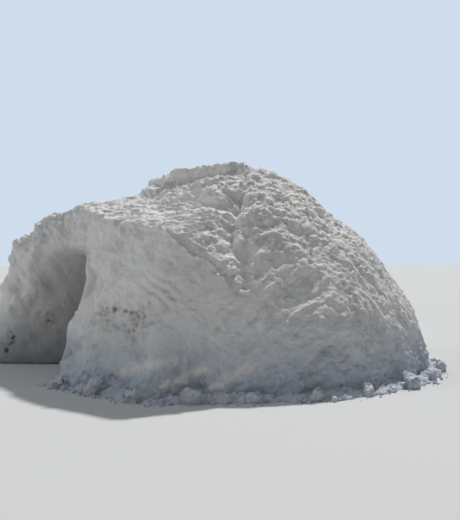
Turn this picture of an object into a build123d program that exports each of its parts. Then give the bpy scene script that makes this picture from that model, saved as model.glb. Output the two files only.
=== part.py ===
from build123d import *
import math
import os

# A snow igloo of the heaped kind, in millimetres. Snow is shovelled up in tamped lifts, patted round,
# left to set and dug out from the doorway. The long axis is X: the doorway faces -X, the dome's back
# faces +X, +Y is the far side of the doorway and Z = 0 is the trodden ground that it stands on.
# Plan points are given from the dome's centre.

# Dome
dome_x = 331
dome_radius = 2690
dome_height = 2800
dome_fullness = 1.63
curve_steps = 10

# Chamber dug out of the dome
foot_wall = 760
roof_wall = 700
chamber_fullness = 2

# Block of snow round the doorway, by the corners of its foot
near_corner = (-2420, -1150)
near_cheek = (-1760, -2310)
near_end = (-600, -2520)
far_end = (-1200, 2300)
far_cheek = (-2500, 2060)
wing_heel = (-3360, 1600)
wing_toe = (-3400, 520)
mouth_crown = (-2660, 0)
block_core = 500
block_batter = 13
block_sink = 100
brow_radius = 120

# Planes that the block's top is cut to, each by a point of the plan, the plane's depth there below the
# dome's top, its dip and the bearing that it falls towards
near_terrace = ((-1990, -180), 670, 18, -130)
far_terrace = ((-1990, 200), 575, 14, 152)
wing_slope = ((-2640, 510), 740, 42, 144)
shoulder = ((-1220, -1910), 1000, 46, -62)

# Crest, the last heap on top of the dome
crest_centre = (-195, 95)
crest_length = 2400
crest_width = 1650
crest_turn = -20
crest_sink = 550
crest_height = 640
crest_batter = 24
crest_round = 90
crest_front = ((60, 60), -45, 8, 160)
crest_back = ((60, 60), -45, 16, -20)

# Passage dug through the wall: its inner end, its throat and its flared mouth
mouth_station = -3700
mouth_width = 2700
mouth_height = 2500
throat_station = -2450
throat_width = 1360
throat_height = 1680
inner_station = -1150
inner_width = 1000
inner_height = 1300

# Levels of the lifts and bearings of the joints between bays
lift_height = 600
haunch_height = 500
crown_lap = 60
crown_height = 440
bay_angle = 45

# Loose snow banked against the foot
bank_reach = 130
bank_height = 280

# Fallen clods that lie against the bank, each by its bearing and its size
fallen = (
    (204, 230),
    (217, 300),
    (229, 240),
    (241, 280),
    (254, 210),
    (268, 220),
    (281, 230),
    (296, 310),
    (309, 220),
    (324, 260),
    (345, 230),
    (22, 260),
    (64, 220),
    (88, 240),
    (103, 280),
    (133, 230),
)
clod_width = 0.8
clod_thickness = 0.7
clod_chamfer = 0.2
clod_rise = 0.25
clod_tip = 24
clod_turn = 41

foot_level = 0
waist_level = foot_level + lift_height
haunch_level = waist_level + lift_height
roof_level = haunch_level + haunch_height
chamber_radius = dome_radius - foot_wall
chamber_height = dome_height - roof_wall
crown_level = chamber_height - crown_lap
crest_level = crown_level + crown_height
dome_axis = Axis((dome_x, 0, 0), (0, 0, 1))
reach = 3 * dome_radius

bay_names = (
    "far_back",
    "far_flank",
    "far_shoulder",
    "far_jamb",
    "near_jamb",
    "near_shoulder",
    "near_flank",
    "near_back",
)
lifts = (
    ("foot", foot_level, waist_level),
    ("waist", waist_level, haunch_level),
    ("haunch", haunch_level, roof_level),
    ("roof", roof_level, crown_level),
)


def from_dome(point):
    """A plan point given from the dome's centre, in the igloo's own frame."""
    return (point[0] + dome_x, point[1])


def dome_profile(radius, height, fullness):
    """Points down a rounded dome's side, from its top to its foot."""
    angles = [math.radians(90 - 90 * i / curve_steps) for i in range(curve_steps + 1)]
    return [
        (radius * math.cos(t) ** (2 / fullness), height * math.sin(t) ** (2 / fullness))
        for t in angles
    ]


def dome_face(radius, height, fullness):
    """Half of an upright section through a dome, beside the dome's axis."""
    points = dome_profile(radius, height, fullness)
    with BuildSketch(Plane((dome_x, 0, 0), x_dir=(1, 0, 0), z_dir=(0, -1, 0))) as section:
        with BuildLine():
            Spline(points, tangents=[(1, 0), (0, -1)])
            Line(points[-1], (0, 0))
            Line((0, 0), points[0])
        make_face()
    return section.sketch


def arch_face(station, width, height):
    """The passage's section at a distance from the dome's centre: straight cheeks, half round above."""
    half = width / 2
    spring = height - half
    with BuildSketch(Plane((dome_x + station, 0, 0), x_dir=(0, 1, 0), z_dir=(1, 0, 0))) as section:
        with BuildLine():
            Line((-half, 0), (-half, spring))
            ThreePointArc((-half, spring), (0, height), (half, spring))
            Line((half, spring), (half, 0))
            Line((half, 0), (-half, 0))
        make_face()
    return section.sketch


def block_foot(spread):
    """The doorway block's foot, spread outward all round."""
    corners = (
        near_corner,
        near_cheek,
        near_end,
        (block_core, near_end[1] / 3),
        (block_core, far_end[1] / 3),
        far_end,
        far_cheek,
        wing_heel,
        wing_toe,
        mouth_crown,
    )
    with BuildSketch() as outline:
        with BuildLine():
            Polyline([from_dome(corner) for corner in corners], close=True)
        make_face()
        if spread:
            offset(amount=spread, kind=Kind.INTERSECTION)
    return outline.sketch


def slope(point, depth, dip, bearing):
    """A plane through a point that lies below the level of the dome's top, leaning towards its fall."""
    lean = math.radians(dip)
    fall = math.radians(bearing)
    normal = (math.sin(lean) * math.cos(fall), math.sin(lean) * math.sin(fall), math.cos(lean))
    return Plane((*from_dome(point), dome_height - depth), z_dir=normal)


def sector_face(bearing, level):
    """A wedge of the plan, one bay wide, from the dome's axis out past the foot."""
    first = math.radians(bearing)
    last = math.radians(bearing + bay_angle)
    with BuildSketch(Plane((dome_x, 0, level))) as wedge:
        with BuildLine():
            Polyline(
                (0, 0),
                (reach * math.cos(first), reach * math.sin(first)),
                (reach * math.cos(last), reach * math.sin(last)),
                close=True,
            )
        make_face()
    return wedge.sketch


def bank_edge(bearing):
    """Where a bearing from the dome's axis crosses the outer edge of the bank."""
    turn = math.radians(bearing)
    far_point = (dome_x + reach * math.cos(turn), reach * math.sin(turn), 0)
    ray = Edge.make_line((dome_x, 0, 0), far_point)
    inside = ray.intersect(bank_foot.sketch)
    return inside.edges()[0].position_at(1)


# The doorway block: battered sides, a top cut to four slopes and soft brows
with BuildPart() as block:
    add(block_foot(0))
    extrude(amount=dome_height - block_sink, taper=block_batter)
    for cut in (near_terrace, far_terrace, wing_slope, shoulder):
        split(bisect_by=slope(*cut), keep=Keep.BOTTOM)
    fillet(block.edges().filter_by(lambda edge: edge.center().Z > brow_radius), radius=brow_radius)

# The crest: a heap with steep sides and a top that falls to the front and to the back
crest_foot = dome_height - crest_sink
with BuildPart() as crest:
    with BuildSketch(Plane((*from_dome(crest_centre), crest_foot)).rotated((0, 0, crest_turn))):
        Ellipse(crest_length / 2, crest_width / 2)
    extrude(amount=crest_height, taper=crest_batter)
    for cut in (crest_front, crest_back):
        split(bisect_by=slope(*cut), keep=Keep.BOTTOM)
    fillet(crest.edges().filter_by(lambda edge: edge.center().Z > dome_height - crest_sink / 2), radius=crest_round)

# Everything that was shovelled up, before it is dug out
with BuildPart() as heap:
    add(dome_face(dome_radius, dome_height, dome_fullness))
    revolve(axis=dome_axis)
    add(crest.part)
    add(block.part)

# What is dug out: the chamber and the passage that leads to it
with BuildPart() as hollow:
    add(dome_face(chamber_radius, chamber_height, chamber_fullness))
    revolve(axis=dome_axis)
    mouth = arch_face(mouth_station, mouth_width, mouth_height)
    throat = arch_face(throat_station, throat_width, throat_height)
    inner = arch_face(inner_station, inner_width, inner_height)
    loft(sections=[mouth.face(), throat.face(), inner.face()])

with BuildPart() as shell:
    add(heap.part)
    add(hollow.part, mode=Mode.SUBTRACT)

# Loose snow round the foot, banked up on the outside only
with BuildSketch() as bank_foot:
    add(block_foot(bank_reach))
    with Locations((dome_x, 0)):
        Circle(dome_radius + bank_reach)

with BuildPart() as bank:
    add(block_foot(bank_reach))
    extrude(amount=bank_height, taper=math.degrees(math.atan2(bank_reach, bank_height)))
    with Locations((dome_x, 0)):
        Cone(dome_radius + bank_reach, dome_radius, bank_height, align=(Align.CENTER, Align.CENTER, Align.MIN))
    add(heap.part, mode=Mode.SUBTRACT)
    add(hollow.part, mode=Mode.SUBTRACT)

# Clods: chamfered lumps, each turned its own way, cut to lie on the ground and against the bank
with BuildPart() as clods:
    for i, (bearing, size) in enumerate(fallen):
        spot = bank_edge(bearing) + Vector(0, 0, clod_rise * size)
        with BuildPart(Plane(spot).rotated((clod_tip, -clod_tip, i * clod_turn)), mode=Mode.PRIVATE) as clod:
            Box(size, clod_width * size, clod_thickness * size)
            chamfer(clod.edges(), length=clod_chamfer * size)
        add(clod.part)
    split(bisect_by=Plane.XY, keep=Keep.TOP)
    add(heap.part, mode=Mode.SUBTRACT)
    add(bank.part, mode=Mode.SUBTRACT)
    add(hollow.part, mode=Mode.SUBTRACT)

os.makedirs("parts", exist_ok=True)

# Bays of the wall, lift by lift, and the bank outside each bay
for i, bay in enumerate(bay_names):
    for lift, low, high in lifts:
        with BuildPart() as piece:
            add(sector_face(i * bay_angle, low))
            extrude(amount=high - low)
            add(shell.part, mode=Mode.INTERSECT)
        piece.part.label = f"{bay}_{lift}"
        export_step(piece.part, f"parts/{bay}_{lift}.step")
    with BuildPart() as loose:
        add(sector_face(i * bay_angle, foot_level))
        extrude(amount=bank_height)
        add(bank.part, mode=Mode.INTERSECT)
    loose.part.label = f"{bay}_bank"
    export_step(loose.part, f"parts/{bay}_bank.step")

# The two halves of the crown close the roof over the chamber
for side, kept in (("near", Keep.TOP), ("far", Keep.BOTTOM)):
    with BuildPart() as crown:
        with BuildSketch(Plane((dome_x, 0, crown_level))):
            Circle(reach)
        extrude(amount=crown_height)
        split(bisect_by=Plane.XZ, keep=kept)
        add(shell.part, mode=Mode.INTERSECT)
    crown.part.label = f"{side}_crown"
    export_step(crown.part, f"parts/{side}_crown.step")

with BuildPart() as top:
    add(shell.part)
    split(bisect_by=Plane.XY.offset(crest_level), keep=Keep.TOP)
top.part.label = "crest"
export_step(top.part, "parts/crest.step")

clods.part.label = "clods"
export_step(clods.part, "parts/clods.step")
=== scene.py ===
"""Looks of a heaped snow igloo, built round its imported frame. All lengths are in metres.

The wall's solids are fused into one shell of fine mesh, which is smoothed, given the relief that
shovels, sun and falling lumps leave, and cut again along the joints between the frame's nodes.
"""
import math

import bmesh
import bpy
import numpy as np
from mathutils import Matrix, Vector


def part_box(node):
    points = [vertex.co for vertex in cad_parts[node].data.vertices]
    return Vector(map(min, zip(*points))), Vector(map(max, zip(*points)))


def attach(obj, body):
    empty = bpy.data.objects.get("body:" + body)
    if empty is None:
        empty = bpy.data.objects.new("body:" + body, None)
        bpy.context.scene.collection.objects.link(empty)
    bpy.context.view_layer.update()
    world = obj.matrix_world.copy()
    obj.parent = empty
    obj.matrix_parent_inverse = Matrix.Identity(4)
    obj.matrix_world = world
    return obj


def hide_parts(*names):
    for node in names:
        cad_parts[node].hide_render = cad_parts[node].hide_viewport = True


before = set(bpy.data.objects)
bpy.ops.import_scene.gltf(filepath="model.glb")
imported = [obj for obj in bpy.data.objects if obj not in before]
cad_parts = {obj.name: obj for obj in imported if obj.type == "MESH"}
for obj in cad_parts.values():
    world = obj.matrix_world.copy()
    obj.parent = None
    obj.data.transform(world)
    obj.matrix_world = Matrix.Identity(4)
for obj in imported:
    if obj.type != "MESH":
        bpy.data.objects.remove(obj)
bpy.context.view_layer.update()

# The dome's axis and the joints' levels and bearings, read from the frame
BAYS = (
    "far_back",
    "far_flank",
    "far_shoulder",
    "far_jamb",
    "near_jamb",
    "near_shoulder",
    "near_flank",
    "near_back",
)
LIFTS = ("foot", "waist", "haunch", "roof")
BAY_ANGLE = 360 / len(BAYS)
DOME_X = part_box("near_flank_foot")[0].x
LIFT_TOPS = [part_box(f"near_flank_{lift}")[1].z for lift in LIFTS]
CREST_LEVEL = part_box("crest")[0].z
AXIS = np.array([DOME_X, 0.0, 0.0])

# What is dug out of the heap, as the frame has it. The passage's mouth, throat and inner end each have
# a station along X from the dome's axis, a width and a height.
CHAMBER_RADIUS = 1.93
CHAMBER_HEIGHT = 2.1
PASSAGE_STATIONS = (-3.7, -2.45, -1.15)
PASSAGE_WIDTHS = (2.7, 1.36, 1.0)
PASSAGE_HEIGHTS = (2.5, 1.68, 1.3)

# Where the photograph was taken from, and its frame in pixels
PHOTO_WIDTH, PHOTO_HEIGHT = 460, 520
HORIZON_ROW = 258
FOCAL_PIXELS = 700
EYE_STATION = -3.48
EYE_DISTANCE = 9.43
EYE_HEIGHT = 1.5
VIEW_TURN = math.radians(20)
EYE = Vector((DOME_X + EYE_STATION, -EYE_DISTANCE, EYE_HEIGHT))
FORWARD = Vector((math.sin(VIEW_TURN), math.cos(VIEW_TURN), 0))
RIGHT = Vector((math.cos(VIEW_TURN), -math.sin(VIEW_TURN), 0))
UP = Vector((0, 0, 1))
SENSOR = 36

# Mesh sizes, how often each mesh is smoothed and by what share of the way, how far it reaches below the
# ground before it is cut, and the level under which a corner stands on the ground
SHELL_VOXEL = 0.0185
BANK_VOXEL = 0.018
CLOD_VOXEL = 0.014
SHELL_SMOOTHING = 10
BANK_SMOOTHING = 4
CLOD_SMOOTHING = 5
SMOOTHING_SHARE = 0.5
SUNK = 0.07
ON_GROUND = 0.001

# Noise: how much finer each octave is, how many of them bend other patterns, how many steps a random
# number has, what sets two numbers of one lattice point apart, and gaps that count as far away, in cells
# and in pixels
OCTAVE_STEP = 2.03
WARP_OCTAVES = 2
OWN_STEPS = 1009
LEVEL_STEPS = 997
TILT_SALT = 500
FAR_CELLS = 9.0
FAR_PIXELS = 1e3

# Noise patterns: lattice cells per metre, octaves, salt and each octave's share of the one before
PATTERNS = {
    "broad": (1.1, 2, 1, 0.5),
    "medium": (3.3, 3, 3, 0.5),
    "small": (10, 3, 5, 0.6),
    "hood": (4.2, 3, 7, 0.45),
    "wander": (1.7, 3, 11, 0.5),
    "stray_across": (4, 4, 91, 0.6),
    "stray_down": (4, 4, 92, 0.6),
    "broken": (17, 3, 93, 0.5),
    "dirt_pits": ((11, 11, 17), 4, 61, 0.7),
    "wall_dirt": ((2.4, 2.4, 4.5), 4, 63, 0.5),
    "dug_dirt": (6, 3, 64, 0.5),
    "mound_dirt": (5, 3, 66, 0.5),
    "bank_drift": (1.1, 3, 70, 0.5),
    "bank_relief": (3, 2, 73, 0.5),
    "bank_dirt": (4, 3, 74, 0.5),
    "bank_slump": (2.3, 2, 75, 0.5),
    "clod_relief": (6, 3, 82, 0.5),
    "clod_dirt": (9, 3, 83, 0.5),
}

# Broken facets of the snow: each layer's height, lattice cells per metre and salt
SHELL_FACETS = ((0.018, (3.8, 3.8, 6), 21), (0.016, (8, 8, 12), 22), (0.011, 17, 26))
BANK_FACETS = ((0.014, 11, 71), (0.011, 24, 72))
CLOD_FACETS = ((0.012, 15, 81),)
FACET_TILT = 0.9

# Wear before the relief: the share of the way that points move towards their neighbours in each round,
# everywhere, round the mouth's rim and on the crest, more at the crest's back
WEAR_ROUNDS = 120
WEAR = 0.12
MOUTH_WEAR = 0.88
CREST_WEAR = 0.25
CREST_BACK_WEAR = 0.65
MOUTH_RIM = (0.5, 0.1)
MOUTH_STATIONS = (-1.7, -2.2)
CREST_LEVELS = (2.35, 2.5)
CREST_BACK = (-0.2, 0.3)

# Where the dug surfaces end: metres beyond the passage's side, and shares of the chamber's own radius
PASSAGE_SKIN = (0.02, 0.12)
CHAMBER_SKIN = (1.02, 1.08)

# Where each kind of surface begins and is complete, by its steepness, its level above the ground or its
# station in metres from the axis, with the share of the wandering noise that is added to it
TERRACE_STEEPNESS = (0.45, 0.22)
TERRACE_LEVELS = (1.5, 1.7)
TERRACE_STATIONS = (-0.45, -0.85)
TERRACE_WANDER = 0.3
MOUND_LEVELS = (1.6, 1.9)
MOUND_WANDER = 0.22
FOOT_LEVELS = (0.55, 0.12)
FOOT_WANDER = 0.2
HOOD_STATIONS = (-2.1, -2.7)
HOOD_LEVELS = (0.4, 1.1)
BEYOND_CHEEK = (-0.75, -0.25)
BEYOND_WANDER = 0.25

# Heights of the shell's relief in metres
BROAD_HEIGHT = 0.045
MEDIUM_HEIGHT = 0.024
MOUND_EXTRA = 0.01
HOOD_HEIGHT = 0.095
SMALL_HEIGHT = 0.012
SMALL_INSIDE = 0.35

# How strong the broken facets are on each kind of surface, and how they are warped
FOOT_ROUGHNESS = 0.5
TERRACE_ROUGHNESS = 0.15
CHEEK_ROUGHNESS = 0.1
WALL_ROUGHNESS = 0.2
LEAST_OUTSIDE = 0.05
FACET_WARP = 0.09
FACET_WARP_CELLS = 5
FACET_WARP_SALTS = (23, 24, 25)

# Wind ripples of the terrace, by their cells per metre to the right, forward and up
RIPPLE_CELLS = (2.2, 9, 14)
RIPPLE_WARP = 1.3
RIPPLE_WARP_CELLS = 2.6
RIPPLE_WARP_SALTS = (31, 32, 33)
RIPPLE_OCTAVES = 2
RIPPLE_SALT = 35
RIPPLE_SHARPNESS = 1.6
RIPPLE_HEIGHT = 0.055
RIPPLE_MIDDLE = 0.3

# Streaks of the shovel: their slopes in degrees on the cheek, the middle and the right edge, and their
# cells per metre along, across and forward
STREAK_SLOPES = (-30, 36, -52)
STREAK_CHEEK = (0.1, -0.5)
STREAK_EDGE = (0.9, 1.5)
STREAK_CELLS = (1.3, 7, 3)
STREAK_WANDER = 0.6
STREAK_OCTAVES = 4
STREAK_SALT = 41
STREAK_GAIN = 0.6
STREAK_HEIGHT = 0.03
STREAK_NEAR = (0.4, -0.5)
STREAK_FAR_SHARE = 0.3

# Lumps that stick to the wall and holes where some fell off: cells per metre, salt, radii in cells from
# the rim to the middle, the least random number that has one, and the height
STUCK = (12, 27, (0.34, 0.12), 0.72, 0.02)
FALLEN = (7, 28, (0.36, 0.15), 0.8, -0.022)

# Dirt, darkening along the streaks' grooves, painted shade in the small hollows and a painted blue shade
# that is deeper towards the foot and lifted along some ridges: shares, and the noise or level at which each
# begins and is complete
WALL_DIRT, WALL_DIRT_RANGE = 0.16, (-0.05, 0.55)
# darker along the grooves of the shovel's streaks
STREAK_DARKENING, STREAK_DARKENING_RANGE = 0.16, (0.1, 0.7)
# painted shade: the small hollows of the relief are darker
HOLLOW_SHADE, HOLLOW_SHADE_RANGE = 0.12, (0.15, 0.7)
MOUND_DIRT, MOUND_DIRT_RANGE = 0.14, (0.1, 0.6)
DUG_DIRT, DUG_DIRT_RANGE, DUG_DIRT_LEVELS = 0.22, (-0.2, 0.5), (1.0, 0.1)
# painted blue shade: deeper towards the foot, and in patches on the lower wall
BLUE_SHADE, BLUE_SHADE_LEVELS, BLUE_SHADE_WANDER = 0.66, (0.95, 0.1), 0.25
WALL_BLUE_SHADE, WALL_BLUE_SHADE_RANGE = 0.1, (-0.3, 0.4)
# share of the painted blue shade that is lifted along the ridges listed below
SHADE_LIFT_SHARE = 0.85

# How far a surface of the near side has to face the photograph's eye, and how far in pixels its features
# stray from their lines
FACING = (-0.4, -0.05)
STRAY_ACROSS = 5
STRAY_DOWN = 4

# Grooves, ridges and brow of the near side: half width in pixels, depth or height in metres, and line in
# pixels of the photograph
GROOVES = (
    (3.2, 0.056, ((246, 178), (243, 190), (238, 204), (232, 219), (231, 236), (230, 247))),
    (7, 0.05, ((240, 196), (236, 208), (229, 224), (229, 236))),
    (5, 0.1, ((152, 176), (168, 177), (184, 178), (209, 173), (236, 169))),
    (4, 0.037, ((146, 181), (165, 182), (184, 182), (207, 178), (222, 176))),
    (4, 0.05, ((195, 197), (207, 203), (222, 206), (239, 203))),
    (4, 0.056, ((238, 228), (246, 225), (256, 226), (272, 225))),
    (6, 0.031, ((247, 236), (250, 248), (246, 262), (248, 284))),
    (2.2, 0.03, ((140, 284), (152, 292), (166, 303))),
    (2.2, 0.028, ((150, 279), (163, 288), (177, 299))),
    (2.4, 0.024, ((160, 276), (172, 284), (184, 292))),
    (5, 0.025, ((80, 345), (92, 356), (104, 362))),
    (3, 0.031, ((222, 272), (229, 276), (238, 272))),
    (5, 0.019, ((190, 300), (200, 290), (210, 288))),
    (3, 0.019, ((104, 229), (103, 243))),
)
RIDGES = (
    (1.8, 0.042, ((177, 242), (186, 250), (194, 254), (205, 257), (212, 262), (218, 271))),
    (5, 0.036, ((200, 186), (212, 180), (226, 179), (236, 184))),
    (3, 0.02, ((226, 258), (231, 257), (238, 260))),
    (5, 0.03, ((229, 268), (235, 266))),
    (3, 0.03, ((233, 236), (239, 231))),
    (2, 0.021, ((290, 236), (302, 240), (312, 246))),
    (2.5, 0.024, ((364, 268), (374, 278), (383, 292), (388, 304))),
    (2, 0.018, ((373, 262), (384, 276), (393, 292), (400, 306))),
    (3, 0.018, ((288, 186), (300, 198), (312, 212))),
    (3, 0.018, ((300, 196), (318, 208), (332, 216))),
    (5, 0.021, ((164, 388), (185, 380), (207, 371))),
    (5, 0.024, ((214, 389), (232, 378), (250, 364))),
    (5, 0.018, ((282, 328), (296, 313), (312, 303))),
    (2.5, 0.018, ((70, 218), (73, 228), (80, 238))),
    (2.5, 0.018, ((78, 209), (81, 222), (86, 232))),
    (4, 0.024, ((58, 219), (62, 230))),
    (
        4,
        0.03,
        ((84, 214), (93, 219), (104, 226), (120, 224), (140, 223), (158, 221), (170, 230), (178, 242)),
    ),
)

# Where the smooth slab of the near cheek ends, and the hollow beyond it, by its reach in pixels and its
# depth in metres
SLAB_EDGE = ((176, 240), (186, 250), (194, 254), (205, 258), (213, 264), (220, 274))
SLAB_REACH = 22
SLAB_DEPTH = 0.1

# Bulges and dents of the near side: pixel across and down, radius in pixels and height in metres. They
# also shape the near cheek's dug side, which begins and is complete at these stations along Y.
NEAR_CHEEK = (0, -0.4)
SWELLS = (
    (16, 248, 12, 0.05),
    (34, 238, 9, 0.05),
    (57, 228, 8, 0.04),
    (46, 246, 8, -0.04),
    (24, 262, 9, 0.04),
    (4, 268, 7, -0.04),
    (147, 176, 6, -0.09),
    (336, 215, 15, -0.07),
    (324, 204, 12, -0.03),
    (97, 219, 11, 0.05),
    (100, 264, 13, 0.05),
    (83, 250, 12, -0.1),
    (87, 280, 17, -0.17),
    (68, 349, 8, -0.12),
    (72, 326, 12, 0.05),
    (70, 368, 9, -0.04),
    (76, 384, 10, 0.05),
    (122, 294, 18, 0.03),
    (150, 262, 20, 0.03),
    (215, 193, 14, 0.05),
    (256, 195, 9, 0.05),
    (276, 196, 8, -0.05),
    (262, 213, 10, 0.03),
    (203, 228, 12, -0.05),
    (245, 252, 9, -0.05),
    (300, 285, 24, -0.04),
    (330, 330, 26, 0.03),
    (196, 330, 26, 0.02),
)

# Edge of the dug hollow's darker part in pixels, with how many pixels it fades over, and the painted shade,
# with some dirt, that darkens that part
DEEP_EDGE = ((92, 236), (63, 246), (50, 257), (43, 277), (31, 293), (18, 324), (0, 338))
DEEP_FADE = 9
DEEP_SHADE_AND_DIRT = 0.36

# Ridges along which the painted blue shade is lifted, so that they stay lighter: half width and line in
# pixels
SHADE_LIFTS = (
    (6, ((160, 388), (182, 380), (208, 370))),
    (6, ((212, 390), (230, 379), (254, 364))),
    (5, ((120, 372), (150, 366), (176, 360))),
)

# Dirty patch of the near cheek with a dark crack over it, and dark specks of the dug wall, in pixels
PATCH_LINE = ((104, 316), (118, 322), (132, 328), (148, 318))
PATCH_WIDTH = 13
PATCH_DIRT = 0.14
PIT_RANGE = (-0.05, 0.55)
PIT_DEPTH = 0.016
PIT_DIRT = 0.5
CRACK_LINE = ((111, 310), (116, 307), (122, 309), (129, 313), (136, 318))
CRACK_WIDTH = 1.8
CRACK_DEPTH = 0.025
# the crack is darker along its line
CRACK_DARKENING = 0.7
BROKEN_RANGE = (-0.15, 0.25)
SPECKS = ((51, 318), (12, 336), (14, 341), (5, 350))
SPECK_RADIUS = 4
SPECK_DEPTH = 0.03
SPECK_DIRT = 0.75

# Bank: how high it stands as a share of its solid, how far its foot slumps outward and its top leans on
# the wall in metres, its relief and dirt, and the painted blue shade laid over all of it
BANK_SHARE, BANK_SHARE_DRIFT, BANK_SHARE_LIMITS = 0.42, 0.6, (0.15, 0.9)
SLUMP, SLUMP_DRIFT, SLUMP_LIMITS, SLUMP_LEVELS = 0.06, 0.16, (-0.02, 0.13), (0.14, 0.0)
LEAN, LEAN_LEVELS = 0.05, (0.01, 0.08)
BANK_RELIEF = 0.02
BANK_UNDERSIDE = (-0.3, 0.1)
BANK_DIRT = 0.2
BANK_BLUE_SHADE = 0.55
LOOSE_DIRT_RANGE = (0, 0.6)

# Crumbs strewn round the bank: middle size and its spread, limits of size, how far from the bank's edge
# they lie, how much each is squashed and sunk, and its relief in shares of its size
SEED = 7
CRUMBS = 900
CRUMB_SIZE = 0.014
CRUMB_SPREAD = 0.55
CRUMB_LIMITS = (0.008, 0.045)
CRUMB_REACH = (-0.12, 0.1)
CRUMB_SQUASH = (0.6, 1.0)
CRUMB_LIFT = (0.0, 0.5)
CRUMB_RELIEF = 0.55
CRUMB_CELLS = 0.9
CRUMB_OCTAVES = 2
CRUMB_SALT = 95
CRUMB_FIELD = 50
FINE_CRUMB = 0.03

# Clods: relief, and how far they shrink for it
CLOD_RELIEF = 0.03
CLOD_SHRINK = 0.03
CLOD_DIRT = 0.2
# painted blue shade laid evenly over all the clods
CLOD_BLUE_SHADE = 0.42

# Snow: clean and shaded colours of the imported wall and of the loose bank and clods, the tint that warms
# it, its flecks, the colour of its painted blue shade and of its dirt and painted shade, its gloss, and the
# height in metres and strength of its grain, with how many times lower the fine grain is
PACKED_COLOURS = ((0.93, 0.925, 0.915), (0.86, 0.865, 0.87))
LOOSE_COLOURS = ((0.92, 0.92, 0.92), (0.84, 0.86, 0.88))
WARM_TINT = (0.97, 0.91, 0.82)
WARM_SHARE = 0.35
FLECK_COLOUR = (0.45, 0.42, 0.39)
FLECK_SHARE = 0.3
BLUE_SHADE_COLOUR = (0.4, 0.5, 0.63)
DIRT_AND_SHADE_COLOUR = (0.17, 0.15, 0.125)
SNOW_ROUGHNESS = 0.72
SNOW_SPECULAR = 0.25
ICE_INDEX = 1.31
PACKED_GRAIN = 0.016
LOOSE_GRAIN = 0.02
FALLEN_GRAIN = 0.018
COARSE_BUMP = 0.9
FINE_BUMP = 0.7
FINE_GRAIN = 3

# Studio: the floor, the fill from the horizon up, the backdrop, and the lamps by their strength, their
# width, their colour and their direction right of the line of sight and above the ground, in degrees
FLOOR_HALF = 120
FLOOR_COLOUR = (0.62, 0.63, 0.64)
FLOOR_ROUGHNESS = 0.9
FILL_COLOUR = (0.93, 0.96, 1)
FILL_LOW, FILL_HIGH = 0.07, 0.27
BACKDROP_COLOUR = (0.62, 0.72, 0.84)
LAMPS = {
    "key": (2.8, 3, (1, 0.975, 0.94), 18, 54),
    "side": (0.42, 26, (1, 0.995, 0.985), -98, 34),
}


def smoothstep(low, high, value):
    """0 below low, 1 above high and a soft rise between them."""
    t = np.clip((value - low) / (high - low), 0, 1)
    return t * t * (3 - 2 * t)


def lattice_hash(x, y, z, salt):
    """A repeatable 24 bit number for each lattice point."""
    mixed = x * 374761393 + y * 668265263 + z * 1440662683 + salt * 974711
    mixed &= 0xFFFFFFFF
    mixed = ((mixed ^ (mixed >> 13)) * 1274126177) & 0xFFFFFFFF
    return (mixed ^ (mixed >> 15)) & 0xFFFFFF


def noise(points, salt=0):
    """Gradient noise of one lattice cell per unit, from about -1 to 1."""
    cell = np.floor(points).astype(np.int64)
    f = points - cell
    fade = f * f * f * (f * (f * 6 - 15) + 10)
    total = np.zeros(len(points))
    for i in (0, 1):
        for j in (0, 1):
            for k in (0, 1):
                h = lattice_hash(cell[:, 0] + i, cell[:, 1] + j, cell[:, 2] + k, salt)
                slope = (
                    ((h & 255) / 127.5 - 1) * (f[:, 0] - i)
                    + (((h >> 8) & 255) / 127.5 - 1) * (f[:, 1] - j)
                    + (((h >> 16) & 255) / 127.5 - 1) * (f[:, 2] - k)
                )
                weight = (
                    (fade[:, 0] if i else 1 - fade[:, 0])
                    * (fade[:, 1] if j else 1 - fade[:, 1])
                    * (fade[:, 2] if k else 1 - fade[:, 2])
                )
                total += weight * slope
    return total


def layered(points, octaves, salt=0, gain=0.5):
    """Noise summed over octaves, each about twice as fine as the one before."""
    total = np.zeros(len(points))
    for octave in range(octaves):
        total += gain**octave * noise(points * OCTAVE_STEP**octave, salt + octave)
    return total


def pattern(name, place):
    """One of the named noise patterns at each point."""
    cells, octaves, salt, gain = PATTERNS[name]
    return layered(place * np.array(cells), octaves, salt, gain)


def warp(place, cells, salts):
    """Three smooth noises at each point, one for each axis, to bend other patterns with."""
    return np.stack([layered(place * cells, WARP_OCTAVES, salt) for salt in salts], axis=1)


def lumps(points, salt=0):
    """Distance to the nearest of one scattered point per lattice cell, and that point's own number."""
    cell = np.floor(points).astype(np.int64)
    nearest = np.full(len(points), FAR_CELLS)
    own = np.zeros(len(points))
    for i in (-1, 0, 1):
        for j in (-1, 0, 1):
            for k in (-1, 0, 1):
                x, y, z = cell[:, 0] + i, cell[:, 1] + j, cell[:, 2] + k
                h = lattice_hash(x, y, z, salt)
                gap = np.sqrt(
                    (x + (h & 255) / 255 - points[:, 0]) ** 2
                    + (y + ((h >> 8) & 255) / 255 - points[:, 1]) ** 2
                    + (z + ((h >> 16) & 255) / 255 - points[:, 2]) ** 2
                )
                closer = gap < nearest
                nearest[closer] = gap[closer]
                own[closer] = (h[closer] % OWN_STEPS) / (OWN_STEPS - 1)
    return nearest, own


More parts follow.
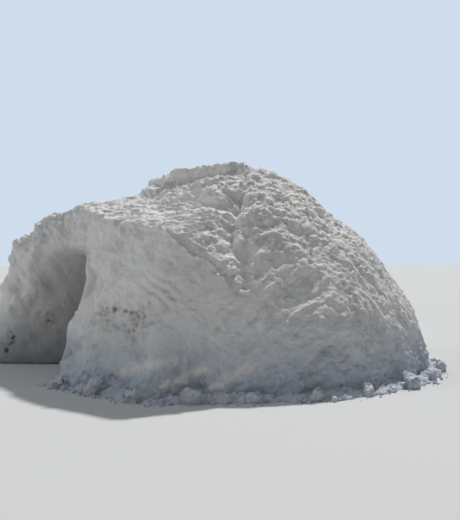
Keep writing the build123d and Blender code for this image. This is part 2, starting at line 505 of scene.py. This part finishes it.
def chunks(points, salt=0):
    """Broken snow: flat facets one lattice cell wide, each with its own level from -1 to 1 and its tilt."""
    cell = np.floor(points).astype(np.int64)
    nearest = np.full(len(points), FAR_CELLS)
    level = np.zeros(len(points))
    for i in (-1, 0, 1):
        for j in (-1, 0, 1):
            for k in (-1, 0, 1):
                x, y, z = cell[:, 0] + i, cell[:, 1] + j, cell[:, 2] + k
                h = lattice_hash(x, y, z, salt)
                tilt = lattice_hash(x, y, z, salt + TILT_SALT)
                away = (
                    points[:, 0] - x - (h & 255) / 255,
                    points[:, 1] - y - ((h >> 8) & 255) / 255,
                    points[:, 2] - z - ((h >> 16) & 255) / 255,
                )
                gap = away[0] ** 2 + away[1] ** 2 + away[2] ** 2
                facet = (tilt % LEVEL_STEPS) / (LEVEL_STEPS // 2) - 1
                for shift, part in zip((0, 8, 16), away):
                    facet = facet + FACET_TILT * (((tilt >> shift) & 255) / 127.5 - 1) * part
                closer = gap < nearest
                nearest[closer] = gap[closer]
                level[closer] = facet[closer]
    return level - FACET_TILT * nearest


def facets(place, layers):
    """Relief of broken facets, summed over layers from coarse to fine."""
    return sum(height * chunks(place * np.array(cells), salt) for height, cells, salt in layers)


def photo_pixels(points):
    """The photograph's pixel in which each point lies, across and down."""
    offset = points - np.array(EYE)
    depth = offset @ FORWARD
    return (
        PHOTO_WIDTH / 2 + FOCAL_PIXELS * (offset @ RIGHT) / depth,
        HORIZON_ROW - FOCAL_PIXELS * offset[:, 2] / depth,
    )


def line_gap(across, down, line):
    """Distance in pixels to a line of the photograph, and its side: above 0 on the left of its run."""
    gap = np.full(len(across), FAR_PIXELS)
    side = np.zeros(len(across))
    for (x0, y0), (x1, y1) in zip(line[:-1], line[1:]):
        run_x, run_y = x1 - x0, y1 - y0
        t = np.clip(((across - x0) * run_x + (down - y0) * run_y) / (run_x**2 + run_y**2), 0, 1)
        off_x, off_y = across - x0 - t * run_x, down - y0 - t * run_y
        distance = np.hypot(off_x, off_y)
        closer = distance < gap
        gap[closer] = distance[closer]
        side[closer] = (run_y * off_x - run_x * off_y)[closer]
    return gap, side


def bell(gap, width):
    """1 on a feature's middle, falling to nothing a few widths away."""
    return np.exp(-((gap / width) ** 2))


def coordinates(mesh):
    """A mesh's vertices as an array."""
    flat = np.empty(len(mesh.vertices) * 3, np.float32)
    mesh.vertices.foreach_get("co", flat)
    return flat.reshape(-1, 3).astype(float)


def vertex_normals(mesh):
    """A mesh's vertex normals as an array."""
    flat = np.empty(len(mesh.vertices) * 3, np.float32)
    mesh.vertex_normals.foreach_get("vector", flat)
    return flat.reshape(-1, 3).astype(float)


def set_coordinates(mesh, points):
    """Moves a mesh's vertices to the given points."""
    mesh.vertices.foreach_set("co", points.astype(np.float32).ravel())
    mesh.update()


def set_attribute(mesh, name, values, kind="FLOAT"):
    """Stores a value at each vertex of a mesh, for its material or for later."""
    layer = mesh.attributes.new(name, kind, "POINT")
    field = "vector" if kind == "FLOAT_VECTOR" else "value"
    layer.data.foreach_set(field, values.astype(np.float32).ravel())


def fused(names, voxel, smoothing):
    """One closed mesh of even quads round the union of some nodes."""
    union = bmesh.new()
    for name in names:
        union.from_mesh(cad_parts[name].data)
    for vert in union.verts:
        if vert.co.z < ON_GROUND:
            vert.co.z = -SUNK
    mesh = bpy.data.meshes.new("union")
    union.to_mesh(mesh)
    union.free()
    holder = bpy.data.objects.new("union", mesh)
    bpy.context.collection.objects.link(holder)
    remesh = holder.modifiers.new("remesh", "REMESH")
    remesh.mode = "VOXEL"
    remesh.voxel_size = voxel
    smooth = holder.modifiers.new("smooth", "SMOOTH")
    smooth.factor = SMOOTHING_SHARE
    smooth.iterations = smoothing
    graph = bpy.context.evaluated_depsgraph_get()
    result = bpy.data.meshes.new_from_object(holder.evaluated_get(graph))
    bpy.data.objects.remove(holder)
    return result


def passage_gap(points):
    """How far each point lies beyond the passage's side, with less than 0 within it."""
    x, y, z = (points - AXIS).T
    station = np.clip(x, PASSAGE_STATIONS[0], PASSAGE_STATIONS[-1])
    half = np.polyval(np.polyfit(PASSAGE_STATIONS, PASSAGE_WIDTHS, 2), station) / 2
    height = np.polyval(np.polyfit(PASSAGE_STATIONS, PASSAGE_HEIGHTS, 2), station)
    return np.hypot(y, np.maximum(z - height + half, 0)) - half


def dug_share(points):
    """1 on the surfaces of the chamber and the passage, 0 on the outside of the heap."""
    x, y, z = (points - AXIS).T
    chamber = np.sqrt((x * x + y * y) / CHAMBER_RADIUS**2 + z * z / CHAMBER_HEIGHT**2)
    inside = 1 - smoothstep(*CHAMBER_SKIN, chamber)
    passage = (1 - smoothstep(*PASSAGE_SKIN, passage_gap(points))) * (x < PASSAGE_STATIONS[-1])
    return np.maximum(inside, passage)


def relaxed(mesh, share, rounds):
    """The mesh's points, drawn towards their neighbours by a share of the way in each round."""
    points = coordinates(mesh)
    ends = np.empty(len(mesh.edges) * 2, np.int32)
    mesh.edges.foreach_get("vertices", ends)
    ends = ends.reshape(-1, 2)
    ends = ends[(share[ends] > 0).any(axis=1)]
    used, local = np.unique(ends, return_inverse=True)
    first, second = local.reshape(-1, 2).T
    count = np.bincount(first, minlength=len(used)) + np.bincount(second, minlength=len(used))
    part, weight = points[used], share[used]
    for _ in range(rounds):
        for axis in range(3):
            line = part[:, axis]
            total = np.bincount(first, line[second], len(used))
            total += np.bincount(second, line[first], len(used))
            part[:, axis] += weight * (total / count - line)
    points[used] = part
    return points


def near_features(points, normals, outside):
    """Relief, dirt and painted shade, and ridges that lift the painted blue shade, that the photograph
    shows on the near side.
    """
    across, down = photo_pixels(points)
    towards = np.array(EYE) - points
    towards /= np.linalg.norm(towards, axis=1)[:, None]
    facing = smoothstep(*FACING, np.sum(normals * towards, axis=1))
    across = across + STRAY_ACROSS * pattern("stray_across", points)
    down = down + STRAY_DOWN * pattern("stray_down", points)

    def along(line, width):
        return bell(line_gap(across, down, line)[0], width)

    def round_pixel(x, y, radius):
        return bell(np.hypot(across - x, down - y), radius)

    height = np.zeros(len(points))
    for width, depth, line in GROOVES:
        height -= depth * along(line, width)
    for width, rise, line in RIDGES:
        height += rise * along(line, width)
    gap, side = line_gap(across, down, SLAB_EDGE)
    height -= SLAB_DEPTH * (side > 0) * bell(gap, SLAB_REACH)

    patch = along(PATCH_LINE, PATCH_WIDTH)
    pits = smoothstep(*PIT_RANGE, pattern("dirt_pits", points))
    broken = smoothstep(*BROKEN_RANGE, pattern("broken", points))
    crack = broken * along(CRACK_LINE, CRACK_WIDTH)
    height -= PIT_DEPTH * patch * pits + CRACK_DEPTH * crack
    # the pits and the patch are dirty, and the crack is darker along its line
    dirt_and_shade = PIT_DIRT * patch * pits + PATCH_DIRT * patch + CRACK_DARKENING * crack
    height, dirt_and_shade = height * facing * outside, dirt_and_shade * facing * outside
    swelling = sum(rise * round_pixel(x, y, radius) for x, y, radius, rise in SWELLS)
    height += swelling * facing * np.maximum(outside, smoothstep(*NEAR_CHEEK, points[:, 1]))

    dug = facing * (1 - outside)
    gap, side = line_gap(across, down, DEEP_EDGE)
    # painted shade, with some dirt, darkens the dug hollow past the edge of its darker part
    dirt_and_shade += DEEP_SHADE_AND_DIRT * dug * smoothstep(-DEEP_FADE, DEEP_FADE, gap * np.sign(side))
    for x, y in SPECKS:
        speck = round_pixel(x, y, SPECK_RADIUS) * dug * broken
        dirt_and_shade += SPECK_DIRT * speck
        height -= SPECK_DEPTH * speck
    # ridges along which the painted blue shade is lifted
    shade_lifted = facing * sum(along(line, width) for width, line in SHADE_LIFTS)
    return height, dirt_and_shade, shade_lifted


def streaks(right, forward, level, wander):
    """Streaks of the shovel, which run their own way on the cheek, the middle and the right edge."""
    total = np.zeros(len(right))
    cheek = smoothstep(*STREAK_CHEEK, right)
    edge = smoothstep(*STREAK_EDGE, right)
    for slope, share in zip(STREAK_SLOPES, (cheek, 1 - cheek - edge, edge)):
        turn = math.radians(slope)
        along = right * math.cos(turn) + level * math.sin(turn)
        over = level * math.cos(turn) - right * math.sin(turn)
        drag = np.stack([along, over, forward], axis=1) * np.array(STREAK_CELLS)
        drag += STREAK_WANDER * wander[:, None]
        total += share * layered(drag, STREAK_OCTAVES, STREAK_SALT, STREAK_GAIN)
    return total


def bumps(place, kind):
    """Heights of scattered lumps, or below 0 of holes, of one kind."""
    cells, salt, radii, least, height = kind
    gap, own = lumps(place * cells, salt)
    return height * smoothstep(*radii, gap) * (own > least)


def shell_relief(points, normals):
    """Height of the relief along the normal at each point, its dirt and painted shade, and its painted blue
    shade, from 0 to 1.
    """
    place = points - AXIS
    inside = dug_share(points)
    outside = 1 - inside
    station, level = place[:, 0], place[:, 2]
    right, forward = place @ RIGHT, place @ FORWARD
    wander = pattern("wander", place)

    terrace = outside * smoothstep(*TERRACE_STEEPNESS, 1 - normals[:, 2])
    terrace *= smoothstep(*TERRACE_LEVELS, level)
    terrace *= smoothstep(*TERRACE_STATIONS, station + TERRACE_WANDER * wander)
    mound = outside * smoothstep(*MOUND_LEVELS, level + MOUND_WANDER * wander) * (1 - terrace)
    lower = outside * (1 - mound) * (1 - terrace)
    foot = outside * smoothstep(*FOOT_LEVELS, level + FOOT_WANDER * wander)
    hood = smoothstep(*HOOD_STATIONS, station) * smoothstep(*HOOD_LEVELS, level)

    small = pattern("small", place)
    height = outside * BROAD_HEIGHT * pattern("broad", place)
    height += (MEDIUM_HEIGHT + MOUND_EXTRA * mound) * pattern("medium", place)
    height += hood * HOOD_HEIGHT * pattern("hood", place)
    height += (SMALL_INSIDE + (1 - SMALL_INSIDE) * outside) * SMALL_HEIGHT * small

    beyond = smoothstep(*BEYOND_CHEEK, right + BEYOND_WANDER * wander)
    strength = mound + FOOT_ROUGHNESS * foot + TERRACE_ROUGHNESS * terrace
    strength += (CHEEK_ROUGHNESS + WALL_ROUGHNESS * beyond) * lower
    shown = outside > LEAST_OUTSIDE
    warped = place[shown] + FACET_WARP * warp(place[shown], FACET_WARP_CELLS, FACET_WARP_SALTS)
    height[shown] += np.clip(strength[shown], 0, 1) * facets(warped, SHELL_FACETS)

    rippled = np.stack([right, forward, level], axis=1) * np.array(RIPPLE_CELLS)
    rippled += RIPPLE_WARP * warp(place, RIPPLE_WARP_CELLS, RIPPLE_WARP_SALTS)
    ripple = 1 - np.abs(layered(rippled, RIPPLE_OCTAVES, RIPPLE_SALT)) * RIPPLE_SHARPNESS
    height += terrace * RIPPLE_HEIGHT * (np.clip(ripple, 0, 1) ** 2 - RIPPLE_MIDDLE)

    streak = streaks(right, forward, level, wander)
    near = smoothstep(*STREAK_NEAR, forward)
    height += lower * (STREAK_FAR_SHARE + (1 - STREAK_FAR_SHARE) * near) * STREAK_HEIGHT * streak
    height += lower * bumps(place, STUCK)
    height += lower * bumps(place, FALLEN)

    near_height, dirt_and_shade, shade_lifted = near_features(points, normals, outside)
    height += near_height

    dirt_and_shade += WALL_DIRT * lower * smoothstep(*WALL_DIRT_RANGE, pattern("wall_dirt", place))
    # darker along the grooves of the streaks
    dirt_and_shade += STREAK_DARKENING * lower * smoothstep(*STREAK_DARKENING_RANGE, -streak)
    # painted shade: darker in the small hollows of the relief, except on the terrace
    dirt_and_shade += HOLLOW_SHADE * outside * (1 - terrace) * smoothstep(*HOLLOW_SHADE_RANGE, -small)
    dirt_and_shade += MOUND_DIRT * mound * smoothstep(*MOUND_DIRT_RANGE, pattern("mound_dirt", place))
    dug_dirt = DUG_DIRT * smoothstep(*DUG_DIRT_RANGE, pattern("dug_dirt", place))
    dirt_and_shade += inside * smoothstep(*DUG_DIRT_LEVELS, level) * dug_dirt
    # painted blue shade: deeper towards the foot, in patches on the lower wall, lifted along some ridges
    blue_shade = BLUE_SHADE * smoothstep(*BLUE_SHADE_LEVELS, level + BLUE_SHADE_WANDER * wander)
    blue_shade += WALL_BLUE_SHADE * lower * smoothstep(*WALL_BLUE_SHADE_RANGE, wander)
    blue_shade *= 1 - SHADE_LIFT_SHARE * shade_lifted
    return height, np.clip(dirt_and_shade, 0, 1), np.clip(blue_shade, 0, 1)


def cut(solid, bearing=None, level=None):
    """The two closed halves of a closed mesh, behind a joint's plane and in front of it."""
    if level is None:
        turn = math.radians(bearing)
        point, normal = Vector(AXIS), Vector((-math.sin(turn), math.cos(turn), 0))
    else:
        point, normal = Vector((0, 0, level)), UP
    halves = []
    for facing in (normal, -normal):
        half = solid.copy()
        everything = half.verts[:] + half.edges[:] + half.faces[:]
        made = bmesh.ops.bisect_plane(
            half, geom=everything, dist=1e-6, plane_co=point, plane_no=facing, clear_outer=True
        )
        rim = [part for part in made["geom_cut"] if isinstance(part, bmesh.types.BMEdge)]
        filled = bmesh.ops.triangle_fill(half, edges=rim, use_beauty=False, normal=facing)
        flag = half.faces.layers.int["cap"]
        for part in filled["geom"]:
            if isinstance(part, bmesh.types.BMFace):
                part[flag] = 1
        halves.append(half)
    solid.free()
    return halves


def bays(solid, first=0, span=360):
    """The bays of a closed ring of wall, found by halving it until each part is one bay wide."""
    if span <= BAY_ANGLE:
        return {BAYS[round(first / BAY_ANGLE)]: solid}
    middle = first + span / 2
    behind, ahead = cut(solid, bearing=middle)
    return {**bays(behind, first, span / 2), **bays(ahead, middle, span / 2)}


def solid_of(mesh):
    """A bmesh of a mesh, with its true normals stored and a layer that marks the cut faces."""
    set_attribute(mesh, "true_normal", vertex_normals(mesh), "FLOAT_VECTOR")
    solid = bmesh.new()
    solid.from_mesh(mesh)
    solid.faces.layers.int.new("cap")
    return solid


def piece_from(solid, name, node, material):
    """A shown piece that stands for one node, shaded with the normals of the uncut snow."""
    mesh = bpy.data.meshes.new(name)
    solid.to_mesh(mesh)
    solid.free()
    mesh.shade_smooth()
    true_normal = np.empty(len(mesh.vertices) * 3, np.float32)
    mesh.attributes["true_normal"].data.foreach_get("vector", true_normal)
    true_normal = true_normal.reshape(-1, 3)
    true_normal /= np.linalg.norm(true_normal, axis=1)[:, None] + 1e-9
    corner = np.empty(len(mesh.loops), np.int32)
    mesh.loops.foreach_get("vertex_index", corner)
    cap = np.empty(len(mesh.polygons), np.int32)
    mesh.attributes["cap"].data.foreach_get("value", cap)
    sides = np.empty(len(mesh.polygons), np.int32)
    mesh.polygons.foreach_get("loop_total", sides)
    flat = np.empty(len(mesh.polygons) * 3, np.float32)
    mesh.polygon_normals.foreach_get("vector", flat)
    shading = true_normal[corner]
    on_cap = np.repeat(cap, sides).astype(bool)
    shading[on_cap] = np.repeat(flat.reshape(-1, 3), sides, axis=0)[on_cap]
    mesh.normals_split_custom_set(shading.tolist())
    for layer in ("true_normal", "cap"):
        mesh.attributes.remove(mesh.attributes[layer])
    mesh.materials.append(material)
    piece = bpy.data.objects.new(name, mesh)
    bpy.context.collection.objects.link(piece)
    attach(piece, "root")
    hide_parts(node)
    return piece


def snow_material(name, colours, grain):
    """Snow: pale and matt, with faint tints, the stored dirt and painted shade, the stored painted blue
    shade, and a grainy surface.
    """
    clean, shaded = colours
    material = bpy.data.materials.new(name)
    material.use_nodes = True
    nodes, links = material.node_tree.nodes, material.node_tree.links
    shader = nodes["Principled BSDF"]
    place = nodes.new("ShaderNodeTexCoord").outputs["Object"]

    def texture(scale, detail, roughness=0.55):
        made = nodes.new("ShaderNodeTexNoise")
        made.inputs["Scale"].default_value = scale
        made.inputs["Detail"].default_value = detail
        made.inputs["Roughness"].default_value = roughness
        links.new(place, made.inputs["Vector"])
        return made.outputs["Fac"]

    def ramp(value, low, high):
        made = nodes.new("ShaderNodeMapRange")
        made.inputs["From Min"].default_value = low
        made.inputs["From Max"].default_value = high
        links.new(value, made.inputs["Value"])
        return made.outputs["Result"]

    def mixed(share, first, second):
        made = nodes.new("ShaderNodeMix")
        made.data_type = "RGBA"
        links.new(share, made.inputs["Factor"])
        for socket, colour in ((made.inputs["A"], first), (made.inputs["B"], second)):
            if isinstance(colour, tuple):
                socket.default_value = (*colour, 1)
            else:
                links.new(colour, socket)
        return made.outputs["Result"]

    def product(first, second):
        made = nodes.new("ShaderNodeMath")
        made.operation = "MULTIPLY"
        for socket, value in zip(made.inputs, (first, second)):
            if isinstance(value, float):
                socket.default_value = value
            else:
                links.new(value, socket)
        return made.outputs["Value"]

    tinted = mixed(ramp(texture(scale=1.6, detail=5), low=0.38, high=0.62), clean, shaded)
    warm = tuple(channel * share for channel, share in zip(clean, WARM_TINT))
    patches = ramp(texture(scale=5, detail=4), low=0.5, high=0.72)
    tinted = mixed(product(patches, WARM_SHARE), tinted, warm)
    fleck = ramp(texture(scale=60, detail=4), low=0.52, high=0.68)
    flecked = mixed(product(fleck, FLECK_SHARE), tinted, FLECK_COLOUR)
    # painted blue shade from its stored attribute, then the stored dirt and painted shade
    blue_shade = nodes.new("ShaderNodeAttribute")
    blue_shade.attribute_name = "blue_shade"
    dirt_and_shade = nodes.new("ShaderNodeAttribute")
    dirt_and_shade.attribute_name = "dirt_and_shade"
    blue_shaded = mixed(blue_shade.outputs["Fac"], flecked, BLUE_SHADE_COLOUR)
    dirty_and_shaded = mixed(dirt_and_shade.outputs["Fac"], blue_shaded, DIRT_AND_SHADE_COLOUR)
    links.new(dirty_and_shaded, shader.inputs["Base Color"])
    shader.inputs["Roughness"].default_value = SNOW_ROUGHNESS
    shader.inputs["Specular IOR Level"].default_value = SNOW_SPECULAR
    shader.inputs["IOR"].default_value = ICE_INDEX

    coarse = nodes.new("ShaderNodeBump")
    coarse.inputs["Strength"].default_value = COARSE_BUMP
    coarse.inputs["Distance"].default_value = grain
    links.new(texture(scale=24, detail=5, roughness=0.62), coarse.inputs["Height"])
    fine = nodes.new("ShaderNodeBump")
    fine.inputs["Strength"].default_value = FINE_BUMP
    fine.inputs["Distance"].default_value = grain / FINE_GRAIN
    links.new(texture(scale=95, detail=4, roughness=0.62), fine.inputs["Height"])
    links.new(coarse.outputs["Normal"], fine.inputs["Normal"])
    links.new(fine.outputs["Normal"], shader.inputs["Normal"])
    return material


def make_shell(material):
    """The wall, roof and crest of packed snow, one piece for each node."""
    names = [f"{bay}_{lift}" for bay in BAYS for lift in LIFTS]
    names += ["near_crown", "far_crown", "crest"]
    mesh = fused(names, SHELL_VOXEL, SHELL_SMOOTHING)
    points = coordinates(mesh)
    place = points - AXIS
    mouth = smoothstep(*MOUTH_RIM, np.abs(passage_gap(points)))
    mouth *= smoothstep(*MOUTH_STATIONS, place[:, 0])
    crest = CREST_WEAR + CREST_BACK_WEAR * smoothstep(*CREST_BACK, place @ FORWARD)
    crest *= smoothstep(*CREST_LEVELS, place[:, 2])
    points = relaxed(mesh, np.clip(WEAR + MOUTH_WEAR * mouth + crest, 0, 1), WEAR_ROUNDS)
    set_coordinates(mesh, points)
    normals = vertex_normals(mesh)
    height, dirt_and_shade, blue_shade = shell_relief(points, normals)
    set_coordinates(mesh, points + normals * height[:, None])
    # dirt with its painted shade, and the painted blue shade
    set_attribute(mesh, "dirt_and_shade", dirt_and_shade)
    set_attribute(mesh, "blue_shade", blue_shade)
    _, rest = cut(solid_of(mesh), level=0)
    for lift, top in zip(LIFTS, LIFT_TOPS):
        ring, rest = cut(rest, level=top)
        for bay, solid in bays(ring).items():
            piece_from(solid, f"snow_{bay}_{lift}", f"{bay}_{lift}", material)
    crown, crest = cut(rest, level=CREST_LEVEL)
    far, near = cut(crown, bearing=180)
    piece_from(far, "snow_far_crown", "far_crown", material)
    piece_from(near, "snow_near_crown", "near_crown", material)
    piece_from(crest, "snow_crest", "crest", material)


def strew(mesh, edge_points):
    """Adds crumbs of snow of many sizes that lie round the foot of the bank."""
    draw = np.random.default_rng(SEED)
    place = edge_points - AXIS
    bearing = np.degrees(np.arctan2(place[:, 1], place[:, 0])) % 360
    edge = np.zeros(360)
    np.maximum.at(edge, bearing.astype(int) % 360, np.hypot(place[:, 0], place[:, 1]))
    strewn = bmesh.new()
    strewn.from_mesh(mesh)
    for _ in range(CRUMBS):
        turn = draw.uniform(0, 360)
        size = float(np.clip(draw.lognormal(math.log(CRUMB_SIZE), CRUMB_SPREAD), *CRUMB_LIMITS))
        out = edge[int(turn)] + draw.uniform(*CRUMB_REACH) - size
        squash = draw.uniform(*CRUMB_SQUASH, 3)
        lift = size * draw.uniform(*CRUMB_LIFT)
        if edge[int(turn)] == 0:
            continue
        angle = math.radians(turn)
        middle = np.array([DOME_X + out * math.cos(angle), out * math.sin(angle), lift])
        detail = 2 if size > FINE_CRUMB else 1
        made = bmesh.ops.create_icosphere(strewn, subdivisions=detail, radius=size)
        spots = np.array([vert.co for vert in made["verts"]])
        own = draw.uniform(0, CRUMB_FIELD, 3)
        uneven = 1 + CRUMB_RELIEF * layered(spots / size * CRUMB_CELLS + own, CRUMB_OCTAVES, CRUMB_SALT)
        spots = spots * squash * uneven[:, None] + middle
        for vert, spot in zip(made["verts"], spots):
            vert.co = spot
    strewn.to_mesh(mesh)
    strewn.free()


def make_bank(material):
    """The loose snow banked against the foot, with its crumbs, one piece for each bay."""
    mesh = fused([f"{bay}_bank" for bay in BAYS], BANK_VOXEL, BANK_SMOOTHING)
    points = coordinates(mesh)
    plan = (points - AXIS) * np.array([1, 1, 0])
    above = points[:, 2] > 0
    share = BANK_SHARE + BANK_SHARE_DRIFT * pattern("bank_drift", plan)[above]
    points[above, 2] *= np.clip(share, *BANK_SHARE_LIMITS)
    outward = plan / (np.linalg.norm(plan, axis=1)[:, None] + 1e-9)
    slump = np.clip(SLUMP + SLUMP_DRIFT * pattern("bank_slump", plan), *SLUMP_LIMITS)
    slump *= smoothstep(*SLUMP_LEVELS, points[:, 2])
    lean = LEAN * smoothstep(*LEAN_LEVELS, points[:, 2])
    points += outward * (slump - lean)[:, None]
    set_coordinates(mesh, points)
    normals = vertex_normals(mesh)
    place = points - AXIS
    height = BANK_RELIEF * pattern("bank_relief", place) + facets(place, BANK_FACETS)
    points += normals * (height * smoothstep(*BANK_UNDERSIDE, normals[:, 2]))[:, None]
    set_coordinates(mesh, points)
    strew(mesh, points)
    dirt_and_shade = pattern("bank_dirt", coordinates(mesh) - AXIS)
    set_attribute(mesh, "dirt_and_shade", BANK_DIRT * smoothstep(*LOOSE_DIRT_RANGE, dirt_and_shade))
    # painted blue shade laid evenly over the whole bank
    set_attribute(mesh, "blue_shade", np.full(len(dirt_and_shade), BANK_BLUE_SHADE))
    _, solid = cut(solid_of(mesh), level=0)
    for bay, part in bays(solid).items():
        piece_from(part, f"snow_{bay}_bank", f"{bay}_bank", material)


def make_clods(material):
    """The fallen clods, as one piece."""
    mesh = fused(["clods"], CLOD_VOXEL, CLOD_SMOOTHING)
    points, normals = coordinates(mesh), vertex_normals(mesh)
    place = points - AXIS
    height = CLOD_RELIEF * pattern("clod_relief", place) + facets(place, CLOD_FACETS) - CLOD_SHRINK
    set_coordinates(mesh, points + normals * height[:, None])
    dirt_and_shade = smoothstep(*LOOSE_DIRT_RANGE, pattern("clod_dirt", place))
    set_attribute(mesh, "dirt_and_shade", CLOD_DIRT * dirt_and_shade)
    # painted blue shade laid evenly over all the clods
    set_attribute(mesh, "blue_shade", np.full(len(points), CLOD_BLUE_SHADE))
    _, solid = cut(solid_of(mesh), level=0)
    piece_from(solid, "snow_clods", "clods", material)


def make_studio():
    """A pale floor, a pale backdrop that only the camera and reflections see, a fill and the lamps."""
    floor_mesh = bpy.data.meshes.new("floor")
    signs = ((-1, -1), (1, -1), (1, 1), (-1, 1))
    corners = [(x * FLOOR_HALF, y * FLOOR_HALF, 0) for x, y in signs]
    floor_mesh.from_pydata(corners, [], [(0, 1, 2, 3)])
    floor = bpy.data.objects.new("floor", floor_mesh)
    bpy.context.collection.objects.link(floor)
    paint = bpy.data.materials.new("floor")
    paint.use_nodes = True
    shader = paint.node_tree.nodes["Principled BSDF"]
    shader.inputs["Base Color"].default_value = (*FLOOR_COLOUR, 1)
    shader.inputs["Roughness"].default_value = FLOOR_ROUGHNESS
    floor_mesh.materials.append(paint)

    world = bpy.data.worlds.new("studio")
    bpy.context.scene.world = world
    world.use_nodes = True
    nodes, links = world.node_tree.nodes, world.node_tree.links
    fill = nodes["Background"]
    fill.inputs["Color"].default_value = (*FILL_COLOUR, 1)
    height = nodes.new("ShaderNodeSeparateXYZ")
    links.new(nodes.new("ShaderNodeTexCoord").outputs["Generated"], height.inputs["Vector"])
    strength = nodes.new("ShaderNodeMapRange")
    strength.inputs["From Min"].default_value = 0.0
    strength.inputs["From Max"].default_value = 1.0
    strength.inputs["To Min"].default_value = FILL_LOW
    strength.inputs["To Max"].default_value = FILL_HIGH
    links.new(height.outputs["Z"], strength.inputs["Value"])
    links.new(strength.outputs["Result"], fill.inputs["Strength"])
    backdrop = nodes.new("ShaderNodeBackground")
    backdrop.inputs["Color"].default_value = (*BACKDROP_COLOUR, 1)
    path = nodes.new("ShaderNodeLightPath")
    seen_rays = nodes.new("ShaderNodeMath")
    seen_rays.operation = "MAXIMUM"
    links.new(path.outputs["Is Camera Ray"], seen_rays.inputs[0])
    links.new(path.outputs["Is Glossy Ray"], seen_rays.inputs[1])
    blend = nodes.new("ShaderNodeMixShader")
    links.new(seen_rays.outputs["Value"], blend.inputs["Fac"])
    links.new(fill.outputs["Background"], blend.inputs[1])
    links.new(backdrop.outputs["Background"], blend.inputs[2])
    links.new(blend.outputs["Shader"], nodes["World Output"].inputs["Surface"])

    for name, lamp in LAMPS.items():
        hang_sun(name, *lamp)


def hang_sun(name, strength, width, colour, across, rise):
    """A sun lamp, by its direction right of the line of sight and above the ground, in degrees."""
    light = bpy.data.lights.new(name, "SUN")
    light.energy = strength
    light.angle = math.radians(width)
    light.color = colour
    lamp = bpy.data.objects.new(name, light)
    across, rise = math.radians(across), math.radians(rise)
    level = FORWARD * math.cos(across) + RIGHT * math.sin(across)
    towards = level * math.cos(rise) + UP * math.sin(rise)
    lamp.rotation_mode = "QUATERNION"
    lamp.rotation_quaternion = towards.to_track_quat("Z", "Y")
    bpy.context.collection.objects.link(lamp)


def make_camera():
    """The photograph's camera, level at a standing eye, with its horizon shifted to its row."""
    camera = bpy.data.objects.new("camera", bpy.data.cameras.new("camera"))
    camera.data.sensor_width = SENSOR
    camera.data.lens = SENSOR * FOCAL_PIXELS / PHOTO_HEIGHT
    camera.data.shift_y = (HORIZON_ROW - PHOTO_HEIGHT / 2) / PHOTO_HEIGHT
    camera.location = EYE
    camera.rotation_mode = "QUATERNION"
    camera.rotation_quaternion = (-FORWARD).to_track_quat("Z", "Y")
    bpy.context.collection.objects.link(camera)
    bpy.context.scene.camera = camera


make_camera()
make_studio()
packed = snow_material("packed_snow", PACKED_COLOURS, PACKED_GRAIN)
loose = snow_material("loose_snow", LOOSE_COLOURS, LOOSE_GRAIN)
fallen = snow_material("fallen_snow", LOOSE_COLOURS, FALLEN_GRAIN)
make_shell(packed)
make_bank(loose)
make_clods(fallen)
bpy.context.scene.view_settings.view_transform = "Standard"
